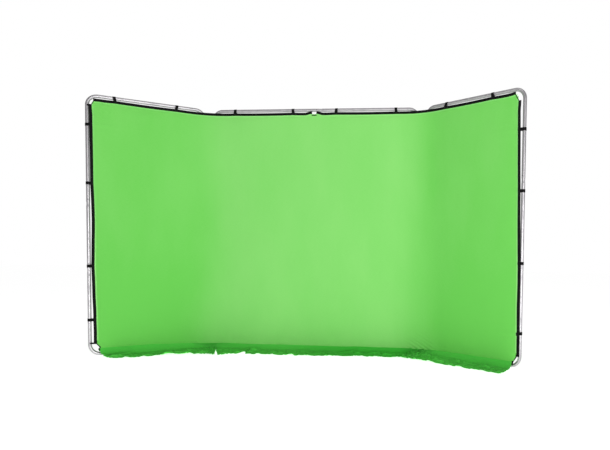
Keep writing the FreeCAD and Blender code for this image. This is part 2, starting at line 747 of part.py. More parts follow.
half = "Sizes.clipWidth / 2"
railClips = {
    "left": [f"({minus(outerUpright)} + Sizes.wingRailClip{end})" for end in ("Outer", "Inner")],
    "centre": [
        toSide(side, x)
        for x in ("Sizes.centreRailClipInner", f"({centreUpright} - Sizes.centreRailClipOuter)")
        for side in (-1, 1)
    ],
    "right": [f"({outerUpright} - Sizes.wingRailClip{end})" for end in ("Outer", "Inner")],
}
for panel, places in railClips.items():
    clips = [
        clipAt(f"{panel}_rail_clip_{i}", f"({x} - {half})", railHeight, 90)
        for i, x in enumerate(places)
    ]
    if panel in sides:
        side = sides[panel]
        for order in ("First", "Second", "Third", "Fourth"):
            height = f"Sizes.sideClip{order}"
            if order in ("Third", "Fourth"):
                height = f"(Sizes.frameHeight - {height})"
            clips.append(
                clipAt(
                    f"{panel}_side_clip_{order}",
                    toSide(side, outerUpright),
                    f"({height} + {half})" if side > 0 else f"({height} - {half})",
                    180 if side > 0 else 0,
                )
            )
    group = doc.addObject("Part::Compound", f"{panel}_clips")
    group.Links = clips
    prefix = "centre" if panel == "centre" else f"{panel}_wing"
    putOnPanel(group, panel, f"{prefix}_strap_clips")

# ---------------------------------------------------------------- build, check and write
doc.recompute()
for item in doc.Objects:
    if "Invalid" in item.State or "Error" in item.State:
        raise RuntimeError(f"{item.Label}: {item.State}")
for item in nodes:
    if item.Shape.isNull() or not item.Shape.isValid() or not item.Shape.Solids:
        raise RuntimeError(f"{item.Label}: no valid solid")
for item in nodes:
    item.Shape.exportStep(f"parts/{item.Label}.step")
print(len(nodes), "nodes;", round(sum(n.Shape.Volume for n in nodes)), "mm3")
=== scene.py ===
# Collapsible backdrop panel: the cloth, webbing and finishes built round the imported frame.
import json
import math

import bpy
import numpy as np
from mathutils import Euler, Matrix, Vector, noise


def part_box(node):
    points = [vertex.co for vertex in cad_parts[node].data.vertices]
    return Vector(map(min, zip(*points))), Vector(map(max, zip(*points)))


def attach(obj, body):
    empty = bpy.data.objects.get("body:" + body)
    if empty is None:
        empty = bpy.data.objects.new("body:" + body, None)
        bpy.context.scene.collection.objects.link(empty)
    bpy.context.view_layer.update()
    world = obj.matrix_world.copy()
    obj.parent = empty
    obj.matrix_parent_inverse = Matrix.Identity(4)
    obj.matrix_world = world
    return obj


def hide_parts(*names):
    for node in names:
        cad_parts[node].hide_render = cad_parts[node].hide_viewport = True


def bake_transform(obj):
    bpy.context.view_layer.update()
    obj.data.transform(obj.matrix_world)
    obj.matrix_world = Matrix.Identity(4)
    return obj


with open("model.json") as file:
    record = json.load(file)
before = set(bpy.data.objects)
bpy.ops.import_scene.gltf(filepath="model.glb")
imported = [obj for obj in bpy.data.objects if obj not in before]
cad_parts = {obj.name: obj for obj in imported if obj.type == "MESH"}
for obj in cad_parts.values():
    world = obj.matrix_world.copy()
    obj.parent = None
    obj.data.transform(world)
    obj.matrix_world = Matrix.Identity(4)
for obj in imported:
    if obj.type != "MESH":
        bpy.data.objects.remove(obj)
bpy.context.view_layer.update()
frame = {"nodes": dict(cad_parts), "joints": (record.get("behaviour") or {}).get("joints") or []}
print("frame loaded,", len(frame["nodes"]), "nodes")


# places read from the frame
def middleOf(node):
    low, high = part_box(node)
    return (low + high) / 2


def level(v):  # the same point or direction, at floor level
    return Vector((v.x, v.y, 0))


hinge = level(next(Vector(j["pos_m"]) for j in frame["joints"] if j["name"] == "right_wing_hinge"))
innerTube = level(middleOf("right_wing_inner_middle_tube"))
outerTube = level(middleOf("right_wing_outer_middle_tube"))
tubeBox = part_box("right_wing_outer_middle_tube")
tubeRadius = (tubeBox[1].x - tubeBox[0].x) / 2
clothAhead = hinge.y - middleOf("centre_cover").y  # the cloth, forward of the tubes' axes
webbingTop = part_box("centre_binding")[1].z + 0.006  # stretched up towards the tube
webbingWidth = {"top": 0.026, "side": 0.026}
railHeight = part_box("centre_top_left_tube")[1].z - tubeRadius
wingOut = (outerTube - innerTube).normalized()  # along the right wing, away from its hinge
wingFront = Vector((wingOut.y, -wingOut.x, 0))  # the side of the right wing that the cloth is on
wingTurn = math.atan2(-wingOut.y, wingOut.x)
wingReach = (outerTube - hinge).length  # the outer upright's axis, from the hinge
webbingEdge = wingReach - tubeRadius  # outer edge of the side webbing, at the nearest
corner = hinge + clothAhead * Vector((-math.tan(wingTurn / 2), -1, 0))  # where the cloth's planes meet
cornerStep = clothAhead * math.tan(wingTurn / 2)  # that point, along a wing from the hinge


def mirrored(point, side):
    return Vector((side * point[0], point[1], point[2]))


def bump(x, middle, reach):  # 1 in the middle, 0 from reach on, smooth in between
    t = min(1, abs(x - middle) / reach)
    return (1 - t * t) ** 2


def smooth(low, high, x):
    t = min(1, max(0, (x - low) / (high - low)))
    return t * t * (3 - 2 * t)


def alongLine(line, x):
    return float(np.interp(x, [p[0] for p in line], [p[1] for p in line]))


def rough(x, y, z=0, size=1, octaves=3):  # soft noise from about -1 to 1, size is in metres
    return noise.fractal(Vector((x / size, y / size, z / size)), 1, 2, octaves) * 1.3


# shader helpers
class Wire:  # one socket of a material, for sums in plain Python
    def __init__(self, paint, socket):
        self.paint = paint
        self.socket = socket

    def maths(self, operation, first, second=0.0):
        return self.paint.add("ShaderNodeMath", {"operation": operation}, {0: first, 1: second})

    def __add__(self, other):
        return self.maths("ADD", self, other)

    def __sub__(self, other):
        return self.maths("SUBTRACT", self, other)

    def __mul__(self, other):
        return self.maths("MULTIPLY", self, other)

    def __radd__(self, other):
        return self.maths("ADD", other, self)

    def __rsub__(self, other):
        return self.maths("SUBTRACT", other, self)

    def __rmul__(self, other):
        return self.maths("MULTIPLY", other, self)

    def __abs__(self):
        return self.maths("ABSOLUTE", self)

    def sine(self):
        return self.maths("SINE", self)

    def above(self, edge, width=0.1):  # 0 below the edge, 1 above it
        return self.paint.add(
            "ShaderNodeMapRange",
            {"interpolation_type": "SMOOTHSTEP"},
            {"Value": self, "From Min": edge - width, "From Max": edge + width},
        )


class Paint:  # one material and the nodes that colour it
    def __init__(self, name, **fixed):
        self.material = bpy.data.materials.new(name)
        self.material.use_nodes = True
        self.tree = self.material.node_tree
        self.shader = self.tree.nodes["Principled BSDF"]
        for socket, value in fixed.items():
            self.shader.inputs[socket.replace("_", " ")].default_value = value

    def add(self, kind, settings, sockets, output=0):
        made = self.tree.nodes.new(kind)
        for key, value in settings.items():
            setattr(made, key, value)
        for key, value in sockets.items():
            if isinstance(value, Wire):
                self.tree.links.new(value.socket, made.inputs[key])
            else:
                made.inputs[key].default_value = value
        return Wire(self, made.outputs[output])

    def place(self):  # where the surface is, in metres
        return self.add("ShaderNodeTexCoord", {}, {}, "Object")

    def cut(self):  # along and across the flat cloth or strap, in metres
        return self.add("ShaderNodeUVMap", {"uv_map": "cut"}, {})

    def parts(self, vector):
        made = self.tree.nodes.new("ShaderNodeSeparateXYZ")
        self.tree.links.new(vector.socket, made.inputs[0])
        return [Wire(self, made.outputs[i]) for i in range(3)]

    def stretched(self, vector, scale):
        return self.add("ShaderNodeVectorMath", {"operation": "MULTIPLY"}, {0: vector, 1: scale})

    def cloud(self, vector, perMetre, detail=3.0):
        return self.add("ShaderNodeTexNoise", {}, {"Vector": vector, "Scale": perMetre, "Detail": detail})

    def mix(self, amount, first, second):
        return self.add("ShaderNodeMix", {"data_type": "RGBA"}, {0: amount, 6: first, 7: second}, 2)

    def use(self, **wires):
        for socket, wire in wires.items():
            self.tree.links.new(wire.socket, self.shader.inputs[socket.replace("_", " ")])

    def relief(self, height, depth, strength=1.0):
        normal = self.add(
            "ShaderNodeBump", {}, {"Height": height, "Distance": depth, "Strength": strength}
        )
        self.use(Normal=normal)


def colour(red, green, blue):
    return (red, green, blue, 1.0)


# finishes
coverFinish = {
    "light": colour(0.235, 0.635, 0.155),
    "deep": colour(0.135, 0.550, 0.080),
    # the skirt's greens are a darker, more saturated copy of the cover's: painted shade for the cloth lying
    # on the floor
    "skirtShadedPale": colour(0.085, 0.55, 0.062),
    "skirtShadedDeep": colour(0.042, 0.45, 0.033),
    "yarn": 0.0016,  # spacing of the knit, metres
    "sheen": 0.08,
}


def coverPaint(name, light, deep):
    paint = Paint(name, Roughness=0.82, Sheen_Weight=coverFinish["sheen"], Sheen_Roughness=0.5)
    paint.shader.inputs["Sheen Tint"].default_value = colour(0.8, 1.0, 0.72)
    paint.shader.inputs["Specular IOR Level"].default_value = 0.25
    flat = paint.cut()
    u, v = paint.parts(flat)[:2]
    turn = 2 * math.pi / coverFinish["yarn"]
    loops = (u * turn).sine() * 0.5 + (v * turn + (u * turn).sine() * 0.9).sine() * 0.5
    slub = paint.cloud(paint.stretched(flat, (40.0, 260.0, 1.0)), 1.0)
    fuzz = paint.cloud(flat, 900.0, 2.0)
    patches = paint.cloud(paint.stretched(flat, (2.4, 0.9, 1.0)), 1.0, 3.0)
    paintedCentreHighlight = 1 - abs(u).above(0.95, 0.22)  # the middle of the cover is painted a little paler: a painted highlight where the light falls strongest
    low = (1 - v.above(0.9, 0.7)) * abs(u).above(1.25, 0.25)  # and the wings' feet painted darker: painted shade
    uneven = (patches - 0.5) * 0.7 + (slub - 0.5) * 0.4 + (fuzz - 0.5) * 0.3
    amount = uneven + paintedCentreHighlight * 0.5 + 0.25 - low * 0.4
    paint.use(Base_Color=paint.mix(amount, deep, light), Roughness=0.78 + fuzz * 0.12)
    paint.relief(loops * 0.6 + fuzz * 0.6 + slub * 0.5, 0.00035, 0.5)
    return paint.material


webbingFinish = {
    "black": colour(0.004, 0.004, 0.0045),
    "worn": colour(0.012, 0.012, 0.013),
    "rib": 0.0022,  # spacing of the cross ribs, metres
    "cord": 0.0016,  # spacing of the cords that run along it
}


def webbingPaint():
    paint = Paint("elastic_webbing", Roughness=0.8, Sheen_Weight=0.03, Sheen_Roughness=0.4)
    paint.shader.inputs["Specular IOR Level"].default_value = 0.12
    flat = paint.cut()
    along, across = paint.parts(flat)[:2]
    ribs = abs((along * (math.pi / webbingFinish["rib"])).sine())
    cords = abs((across * (math.pi / webbingFinish["cord"])).sine())
    fuzz = paint.cloud(flat, 700.0)
    wear = paint.cloud(flat, 9.0, 4.0).above(0.62, 0.12)
    paint.use(
        Base_Color=paint.mix(wear * 0.7 + (fuzz - 0.5) * 0.3, webbingFinish["black"], webbingFinish["worn"]),
        Roughness=0.72 + fuzz * 0.2,
    )
    paint.relief(ribs * 0.8 + cords * 0.3 + fuzz * 0.3, 0.0004, 0.6)
    return paint.material


def threadPaint():
    paint = Paint("stitching_thread", Roughness=0.55)
    twist = paint.cloud(paint.place(), 1500.0)
    paint.use(Base_Color=paint.mix(twist, colour(0.02, 0.02, 0.022), colour(0.05, 0.05, 0.052)))
    paint.relief(twist, 0.0002, 0.4)
    return paint.material


tubeFinish = {
    "bright": colour(0.52, 0.50, 0.52),
    "dull": colour(0.43, 0.415, 0.435),
    "dark": colour(0.27, 0.26, 0.28),
}


def tubePaint():
    paint = Paint("satin_aluminium_tube", Metallic=0.75, Roughness=0.36)
    at = paint.place()
    drawn = paint.cloud(paint.stretched(at, (900.0, 900.0, 9.0)), 1.0, 2.0)
    rubbed = paint.cloud(at, 14.0, 4.0)
    scratches = paint.cloud(paint.stretched(at, (60.0, 60.0, 1400.0)), 1.0, 1.0).above(0.68, 0.03)
    smudge = rubbed.above(0.56, 0.12)
    body = paint.mix((drawn - 0.5) * 0.5 + 0.5, tubeFinish["dull"], tubeFinish["bright"])
    paint.use(
        Base_Color=paint.mix(smudge * 0.35 + scratches * 0.15, body, tubeFinish["dark"]),
        Roughness=0.36 + smudge * 0.10 + (drawn - 0.5) * 0.03 + scratches * 0.04,
    )
    paint.relief(drawn, 0.00003, 0.15)
    return paint.material


def steelPaint(name, bright, dark, dull):
    paint = Paint(name, Metallic=1.0, Roughness=dull)
    at = paint.place()
    grain = paint.cloud(at, 900.0, 2.0)
    stain = paint.cloud(at, 120.0, 3.0).above(0.58, 0.1)
    paint.use(Base_Color=paint.mix(stain * 0.6 + grain * 0.2, bright, dark), Roughness=dull + grain * 0.15)
    paint.relief(grain, 0.00008, 0.5)
    return paint.material


def nylonPaint():
    paint = Paint("moulded_nylon", Roughness=0.5)
    at = paint.place()
    spark = paint.cloud(at, 1400.0, 2.0)
    rubbed = paint.cloud(at, 60.0, 3.0).above(0.6, 0.1)
    paint.use(
        Base_Color=paint.mix(rubbed, colour(0.016, 0.016, 0.017), colour(0.04, 0.04, 0.042)),
        Roughness=0.42 + spark * 0.2,
    )
    paint.relief(spark, 0.00015, 0.6)
    return paint.material


coverGreen = coverPaint("chroma_green_cover", coverFinish["light"], coverFinish["deep"])
# the skirt is the cover's cloth in darker greens: painted shade
shadedSkirtGreen = coverPaint("chroma_green_skirt_painted_shade", coverFinish["skirtShadedPale"], coverFinish["skirtShadedDeep"])
# the hem band: a paler copy of the cover's green, a painted highlight where light catches the turned hem
hemHighlightGreen = coverPaint("chroma_green_hem_painted_highlight", colour(0.27, 0.69, 0.19), colour(0.20, 0.61, 0.14))
blackWebbing = webbingPaint()
thread = threadPaint()
tubeMetal = tubePaint()
springSteel = steelPaint("spring_steel", colour(0.42, 0.43, 0.46), colour(0.20, 0.21, 0.26), 0.30)
zincSteel = steelPaint("zinc_plated_steel", colour(0.66, 0.66, 0.64), colour(0.42, 0.41, 0.38), 0.34)
buttonSteel = steelPaint("blackened_button_steel", colour(0.10, 0.10, 0.105), colour(0.05, 0.05, 0.05), 0.38)
nylon = nylonPaint()
nodeFinishes = [  # ending of a node's name, its finish
    ("_bow", tubeMetal),
    ("_tube", tubeMetal),
    ("_button", buttonSteel),
    ("_springs", springSteel),
    ("_pins", zincSteel),
    ("_screws", zincSteel),
    ("_fork", nylon),
    ("_eye", nylon),
]
for name, node in frame["nodes"].items():
    for ending, material in nodeFinishes:
        if name.endswith(ending):
            node.data.materials.clear()
            node.data.materials.append(material)
print("finishes made")


# mesh helpers
def meshPiece(name, points, faces, flat, material):
    mesh = bpy.data.meshes.new(name)
    mesh.from_pydata([tuple(p) for p in points], [], faces)
    layer = mesh.uv_layers.new(name="cut")
    for loop in mesh.loops:
        layer.data[loop.index].uv = flat[loop.vertex_index]
    mesh.materials.append(material)
    mesh.polygons.foreach_set("use_smooth", [True] * len(mesh.polygons))
    uses = {}
    for polygon in mesh.polygons:
        for key in polygon.edge_keys:
            uses[key] = uses.get(key, 0) + 1
    for edge in mesh.edges:  # an open edge stays crisp when the cloth is thickened
        edge.use_edge_sharp = uses[edge.key] == 1
    mesh.validate()
    piece = bpy.data.objects.new(name, mesh)
    bpy.context.scene.collection.objects.link(piece)
    return piece


def gridPiece(name, columns, flatColumns, material, flip=False):  # columns of points, side by side
    rows = len(columns[0])
    points = [p for column in columns for p in column]
    flat = [p for column in flatColumns for p in column]
    faces = []
    for i in range(len(columns) - 1):
        for j in range(rows - 1):
            a, b = i * rows + j, (i + 1) * rows + j
            faces.append((a, a + 1, b + 1, b) if flip else (a, b, b + 1, a + 1))
    return meshPiece(name, points, faces, flat, material)


def thicken(piece, thickness):
    solidify = piece.modifiers.new("thickness", "SOLIDIFY")
    solidify.thickness = thickness
    solidify.offset = -1
    return piece


def strapSection(width, thick):  # half-rounded edges and two sewn grooves, as (across, up)
    half, edge, groove = width / 2, thick * 0.45, min(0.003, width / 5)
    face = [
        (half, 0),
        (half - edge * 0.3, thick * 0.32),
        (half - edge, thick / 2),
        (half - groove, thick * 0.38),
        (half - groove * 1.7, thick / 2),
    ]
    front = face + [(-a, up) for a, up in face[::-1]]
    return front + [(-a, -up) for a, up in front[1:-1]]


def strap(name, route, across, width, thick, material):
    # a flat strap along the route, a list of points, whose width lies along the vectors in across
    section = strapSection(width, thick)
    points, flat, faces, run = [], [], [], 0.0
    for i, (p, a) in enumerate(zip(route, across)):
        ahead = (route[min(i + 1, len(route) - 1)] - route[max(i - 1, 0)]).normalized()
        wide = (a - a.dot(ahead) * ahead).normalized()
        up = ahead.cross(wide)
        run += (p - route[i - 1]).length if i else 0
        for x, y in section:
            points.append(p + x * wide + y * up)
            flat.append((run, x))
    n = len(section)
    for i in range(len(route) - 1):
        for j in range(n):
            k = (j + 1) % n
            faces.append((i * n + j, (i + 1) * n + j, (i + 1) * n + k, i * n + k))
    faces.append(tuple(range(n)))
    faces.append(tuple(range(len(points) - 1, len(points) - n - 1, -1)))
    return meshPiece(name, points, faces, flat, material)


def joined(pieces, name):
    with bpy.context.temp_override(
        active_object=pieces[0], selected_editable_objects=pieces, selected_objects=pieces
    ):
        bpy.ops.object.join()
    pieces[0].name = name
    pieces[0].data.name = name
    return pieces[0]


# the cover's outline and plan
coverSizes = {
    "bridge": 0.235,  # how far from a corner the stretched cloth leaves each frame's plane
    "notchX": 0.003,  # break in the top webbing, at the centre rail's joint
    "notchHalf": 0.021,
    "notchRise": 0.011,  # how far the webbing's ends lift beside the break
    "topEnd": {-1: 0.966, 1: 0.953},  # end of the top webbing, along a wing from its hinge
    "sideTop": {-1: 2.196, 1: 2.188},  # upper end of the side webbing
    "sideFoot": {-1: 0.106, 1: 0.101},  # its lower end
    "lowEnd": {-1: 0.948, 1: 0.952},  # where the diagonal cut below it meets the fold
    "sag": {  # of the side webbing between its clips, from the top to the foot
        -1: (0, 0.001, 0.007, 0.004, 0.001),
        1: (0, 0.001, 0.003, 0.002, 0.001),
    },
    "drift": {  # how far in from the tube's edge the side webbing is, as (height, distance)
        -1: (
            (0.21, 0.014), (0.37, 0.0115), (0.53, 0.004), (0.69, 0.0025), (1.0, 0.0005), (1.2, 0.003),
            (1.9, 0.0),
        ),
        1: (
            (0.25, -0.020), (0.5, -0.0165), (0.7, -0.0185), (1.16, -0.0098), (1.6, 0.001), (1.82, 0.005),
            (2.1, 0.0115),
        ),
    },
    "footTab": {  # strap from the cover's foot to the bottom rail, as (along the wing, height)
        -1: ((0.948, 0.066), (0.943, 0.056), (0.938, 0.040)),
        1: ((0.966, 0.062), (0.962, 0.045), (0.957, 0.026)),
    },
    "topSag": 0.003,
    "hemHeight": (0.046, 0.070, 0.056),  # bottom edge at the centre, left and right outer ends
    "column": 0.016,
    "rows": 150,
    "thickness": 0.0009,
}
sideClips = {-1: (0.322, 0.798, 1.522, 2.032), 1: (0.290, 0.869, 1.459, 1.955)}  # heights, left and right
wingRailClips = {-1: (0.296, 0.804), 1: (0.262, 0.730)}  # along a wing's top rail, from the hinge axis
centreRailClips = {-1: (0.202, 0.769), 1: (0.212, 0.778)}  # out from the middle


def planPoint(q, ahead=0.0):
    # the cloth's plan on the right: q is 0 at the corner, below 0 on the centre frame, above 0 on the wing
    reach = coverSizes["bridge"]
    t = min(1, max(0, (q + reach) / (2 * reach)))
    inward = Vector((-1, 0, 0))
    if q <= -reach:
        point, tangent = corner - q * inward, -inward
    elif q >= reach:
        point, tangent = corner + q * wingOut, wingOut
    else:
        point = corner + reach * ((1 - t) ** 2 * inward + t**2 * wingOut)
        tangent = ((1 - t) * -inward + t * wingOut).normalized()
    return point + ahead * Vector((tangent.y, -tangent.x, 0))


def scallop(at, stops, depths):  # how far an edge bows in at a place between two stops
    for low, high, depth in zip(stops, stops[1:], depths):
        if low <= at <= high:
            return depth * max(0, math.sin(math.pi * (at - low) / (high - low))) ** 0.8
    return 0.0


def topStops(side):  # where the top webbing is held, as places on the plan
    centre = [x - corner.x for x in (side * coverSizes["notchX"],) + centreRailClips[side]]
    return sorted(centre + [x - cornerStep for x in wingRailClips[side]] + [topEndQ[side]])


edgeQ = webbingEdge - cornerStep  # the webbing's outer edge, on the plan
cutQ = edgeQ - webbingWidth["side"] + 0.002  # where the diagonal cuts run under the side webbing
splitQ = {side: side * coverSizes["notchX"] - corner.x for side in (-1, 1)}
topEndQ = {side: coverSizes["topEnd"][side] - cornerStep for side in (-1, 1)}
lowEndQ = {side: coverSizes["lowEnd"][side] - cornerStep for side in (-1, 1)}


def webbingLine(q, side):  # height of the top webbing's middle
    sizes = coverSizes
    height = webbingTop - webbingWidth["top"] / 2 - scallop(q, topStops(side), [sizes["topSag"]] * 9)
    height += sizes["notchRise"] * bump(q, splitQ[side] + sizes["notchHalf"] + 0.004, 0.06)
    height += 0.003 * side * bump(q, topEndQ[side], 0.05)
    return height


def hemLine(q, side):
    centre, left, right = coverSizes["hemHeight"]
    outer = left if side < 0 else right
    return centre + (outer - centre) * smooth(-0.1, 0.6, q) + 0.003 * rough(q, side, size=0.35)


def edgeShift(z, side):  # how far in from its nearest the side webbing is at a height
    sizes = coverSizes
    stops = (sizes["sideFoot"][side],) + sideClips[side] + (sizes["sideTop"][side],)
    shift = scallop(z, stops, sizes["sag"][side][::-1]) + alongLine(sizes["drift"][side], z)
    return shift - 0.004 * bump(z, sizes["sideTop"][side], 0.09)


def topLine(q, side):  # upper edge of the cloth itself, under the webbing
    sizes, width = coverSizes, webbingWidth["top"]
    if q <= splitQ[side] + sizes["notchHalf"]:
        return webbingTop - width
    if q <= topEndQ[side]:
        return webbingLine(q, side) + width / 2 - 0.003
    start, end = webbingLine(topEndQ[side], side) - width / 2 + 0.003, sizes["sideTop"][side] - 0.004
    return start + (end - start) * min(1, (q - topEndQ[side]) / (cutQ - topEndQ[side]))


def footLine(q, side):  # its lower edge
    hem, end = hemLine(q, side), coverSizes["sideFoot"][side] + 0.005
    return hem + (end - hem) * min(1, max(0, (q - lowEndQ[side]) / (cutQ - lowEndQ[side])))


def clothPoint(q, z, side, ahead=0.0):  # a point of the cover, which the side webbing draws in or out
    inward = edgeShift(z, side) * smooth(0.25, 0, edgeQ - q)
    return mirrored(planPoint(q - inward, ahead) + Vector((0, 0, z)), side)


reliefSizes = {
    "billow": 0.004,
    "pull": 0.0012,  # creases that run in from each clip
    "pullPitch": 0.055,
    "pullWidth": 0.12,
    "pullReach": 0.16,
    "ripple": 0.003,  # above the fold
    "crumple": 0.009,  # creases above the fold at the right corner
    "crumplePitch": 0.052,
}


def clothRelief(q, z, side):  # how far the stretched cloth stands forward of its plane
    hem = hemLine(q, side)
    fade = smooth(0, 0.12, webbingTop - z) * smooth(0, 0.12, edgeQ - q) * smooth(0, 0.25, q - splitQ[side])
    held = smooth(0.024, 0.055, topLine(q, side) - z) * smooth(0.027, 0.055, edgeQ - q)
    fade *= smooth(0, 0.09, z - footLine(q, side))
    billow = reliefSizes["billow"] * (1 + rough(q, z, side * 3, size=0.7)) * fade
    pitch, width = reliefSizes["pullPitch"], reliefSizes["pullWidth"]
    fromTop = reliefSizes["pull"] * math.exp(-((webbingTop - z) / reliefSizes["pullReach"]))
    fromSide = reliefSizes["pull"] * math.exp(-((edgeQ - q) / reliefSizes["pullReach"]))
    pull = 0.0
    for x in topStops(side)[1:-1]:
        pull += fromTop * (1 + math.cos((q - x) * 2 * math.pi / pitch)) * bump(q, x, width)
    for height in sideClips[side]:
        pull += fromSide * (1 + math.cos((z - height) * 2 * math.pi / pitch)) * bump(z, height, width)
    low = math.exp(-(z - hem) / 0.09) * smooth(0.002, 0.016, z - footLine(q, side))
    ripple = reliefSizes["ripple"] * low * (1 + rough(q, 0.3 * z, side * 7, size=0.07))
    crumple = 0.0
    if side > 0:
        near = bump(q, 0.02, 0.2) * math.exp(-(z - hem) / 0.07)
        slant = math.sin((q * 0.8 + (z - hem) * 1.5) * 2 * math.pi / reliefSizes["crumplePitch"])
        crumple = reliefSizes["crumple"] * near * (1 + slant * (1 - 0.4 * rough(q, z, size=0.1)))
    return (billow + pull + (ripple + crumple) * smooth(0, 0.03, q - splitQ[side])) * held


def columnPlaces(start, end, step, extra=()):
    count = round((end - start) / step)
    places = [start + (end - start) * i / count for i in range(count + 1)]
    return sorted(set([p for p in places if all(abs(p - e) > step / 3 for e in extra)] + list(extra)))


def coverHalf(side, name):
    sizes = coverSizes
    start, end = splitQ[side], edgeQ - 0.003
    notch = start + sizes["notchHalf"]
    extra = (start, notch, notch + 0.003, lowEndQ[side], topEndQ[side], topEndQ[side] + 0.001, cutQ, end)
    places = columnPlaces(start, end, sizes["column"], extra)
    columns, flat = [], []
    for q in places:
        top, foot = topLine(q, side), footLine(q, side)
        column, flatColumn = [], []
        for j in range(sizes["rows"] + 1):
            r = j / sizes["rows"]
            r = r - 0.10 * math.sin(2 * math.pi * r)  # closer rows at the hem and the top
            z = foot + (top - foot) * r
            column.append(clothPoint(q, z, side, clothRelief(q, z, side)))
            flatColumn.append((side * (q - splitQ[side]), z))
        columns.append(column)
        flat.append(flatColumn)
    piece = gridPiece(name, columns, flat, coverGreen, flip=side < 0)
    thicken(piece, sizes["thickness"])
    return piece


blendReach = {"wing": 0.16, "centre": 0.16}  # either side of a hinge; bendWith turns these into two points that nothing reads


def bendWith(piece, side, wing):
    start = mirrored(hinge + blendReach["wing"] * wingOut, side)
    end = mirrored(hinge - Vector((blendReach["centre"], 0, 0)), side)
    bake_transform(piece)


# webbing round the cover's edge
webbingSizes = {"thick": 0.0034, "cord": 0.009, "break": 0.012, "step": 0.012, "hem": 0.011, "back": -0.0002}


def coverWebbing(side, name):
    up, step, thick = Vector((0, 0, 1)), webbingSizes["step"], webbingSizes["thick"]
    places = columnPlaces(splitQ[side] + coverSizes["notchHalf"], topEndQ[side], step)
    route = [clothPoint(q, webbingLine(q, side), side, webbingSizes["back"]) for q in places]
    top = strap(name + "_top", route, [up] * len(route), webbingWidth["top"], thick, blackWebbing)
    heights = columnPlaces(coverSizes["sideFoot"][side], coverSizes["sideTop"][side], step)
    route = [clothPoint(edgeQ - webbingWidth["side"] / 2, z, side, webbingSizes["back"]) for z in heights]
    across = [mirrored(wingOut, side)] * len(route)
    upright = strap(name + "_side", route, across, webbingWidth["side"], thick, blackWebbing)
    return joined([top, upright], name)


def cutEdge(side, name):  # narrow tape on the cover's diagonal cuts and in the break
    breakQ = splitQ[side] + coverSizes["notchHalf"] + 0.002
    runs = [
        (topEndQ[side] - 0.003, cutQ, topLine, -0.001, webbingSizes["cord"]),
        (lowEndQ[side] - 0.003, cutQ, footLine, 0.001, webbingSizes["cord"]),
        (splitQ[side], breakQ, topLine, 0.0, webbingSizes["break"]),
    ]
    pieces = []
    for i, (start, end, line, shift, width) in enumerate(runs):
        low, high = line(start + 0.0035, side) + shift, line(end - 0.003, side) + shift
        route = []
        for k in range(9):
            q = start + (end - start) * k / 8
            route.append(clothPoint(q, low + (high - low) * k / 8, side, webbingSizes["back"]))
        facing = mirrored(wingFront, side) if i < 2 else Vector((0, -1, 0))
        across = [(route[-1] - route[0]).cross(facing).normalized()] * 9
        pieces.append(strap(f"{name}_{i}", route, across, width, webbingSizes["thick"], blackWebbing))
    return joined(pieces, name)


def hemBand(side, name):  # the cover's own turned hem, just inside the webbing, in a paler green that is painted highlight
    width, forward = webbingSizes["hem"], 0.0007
    inset = webbingWidth["top"] / 2 + width / 2 - 0.001
    route = []
    for q in columnPlaces(splitQ[side] + 0.001, cutQ - 0.010, webbingSizes["step"]):
        z = webbingLine(q, side) - inset
        route.append(clothPoint(q, z, side, forward + clothRelief(q, z, side)))
    top = strap(name + "_top", route, [Vector((0, 0, 1))] * len(route), width, 0.0012, hemHighlightGreen)
    low, high = coverSizes["sideFoot"][side] + 0.03, webbingTop - webbingWidth["top"] - 0.012
    q = edgeQ - webbingWidth["side"] - width / 2 + 0.001
    heights = columnPlaces(low, high, webbingSizes["step"])
    route = [clothPoint(q, z, side, forward + clothRelief(q, z, side)) for z in heights]
    across = [mirrored(wingOut, side)] * len(route)
    upright = strap(name + "_side", route, across, width, 0.0012, hemHighlightGreen)
    return joined([top, upright], name)


wings = {-1: "left", 1: "right"}
covers, hems = {}, {}
for side, word in wings.items():
    wing = word + "_wing"
    cover = coverHalf(side, f"cover_{word}_half")
    webbing = coverWebbing(side, f"{word}_edge_webbing")
    tape = cutEdge(side, f"{word}_cut_edge_tape")
    hem = hemBand(side, f"{word}_hem_band")
    for piece in (cover, webbing, tape, hem):
        bendWith(piece, side, wing)
    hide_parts(wing + "_cover", "centre_cover")
    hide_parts(wing + "_binding", "centre_binding")
    covers[side], hems[side] = cover, [webbing, tape, hem]
print("cover, hems and edge webbing made")


# strap clips
clipSizes = {
    "width": 0.026,
    "thick": 0.0022,
    "clear": 0.0003,  # between the strap and the tube
    "tail": 0.009,  # how far the strap runs on past the webbing's middle
    "shortest": 0.026,  # least reach of a strap, from the tube's axis
    "off": 0.0003,  # between the strap and the webbing
    "skew": 0.007,  # how far a strap shifts along the tube on its way over
    "stitchRows": (0.007, 0.002),  # in from the end of the tail
    "stitches": 5,  # in a row
    "stitchStart": -0.0068,
    "stitchStep": 0.0034,
    "stitchHalf": 0.0011,  # half of a stitch's length
    "thread": (0.0009, 0.0008),
}
webbingMiddle = {  # from a tube's axis
    "rail": railHeight - webbingTop + webbingWidth["top"] / 2,
    "side": wingReach - webbingEdge + webbingWidth["side"] / 2 + 0.002,
}


